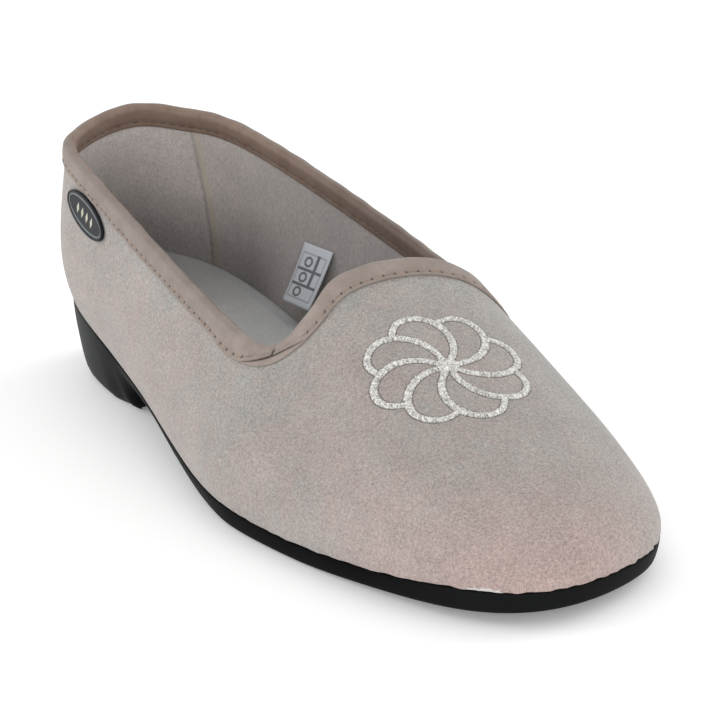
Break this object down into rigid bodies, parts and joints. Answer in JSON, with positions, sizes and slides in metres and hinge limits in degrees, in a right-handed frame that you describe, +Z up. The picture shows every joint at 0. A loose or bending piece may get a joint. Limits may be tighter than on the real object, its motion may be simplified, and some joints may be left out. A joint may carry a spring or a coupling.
{
  "type": "ballerina slipper",
  "caption": "Low house shoe for the right foot: soft hollow upper with a high vamp, satin-bound collar, stitched flower, felt insole and thin rubber sole with a low heel.",
  "frame": {"origin": "centre of the shoe's box on the floor that it stands on", "axes": "+Y from the heel towards the toe, +X towards the outer side of the foot, +Z up"},
  "size_m": [0.0898, 0.2478, 0.0781],
  "materials": {
    "sole_rubber": "satin moulded black rubber",
    "insole_felt": "grey felt",
    "upper_microfibre": "taupe suede-like microfibre, napped",
    "binding_satin": "brown satin bias tape, stitched",
    "embroidery_thread": "ivory satin stitch with a silver glint",
    "badge_weave": "tight navy weave with a pale ring",
    "label_weave": "pale grey-blue woven label with plain bars and rings"
  },
  "bodies": {
    "root": {"sole": "sole_rubber", "insole": "insole_felt", "upper": "upper_microfibre", "collar_binding": "binding_satin", "vamp_embroidery": "embroidery_thread", "side_badge": "badge_weave", "lining_label": "label_weave"}
  },
  "joints": []
}
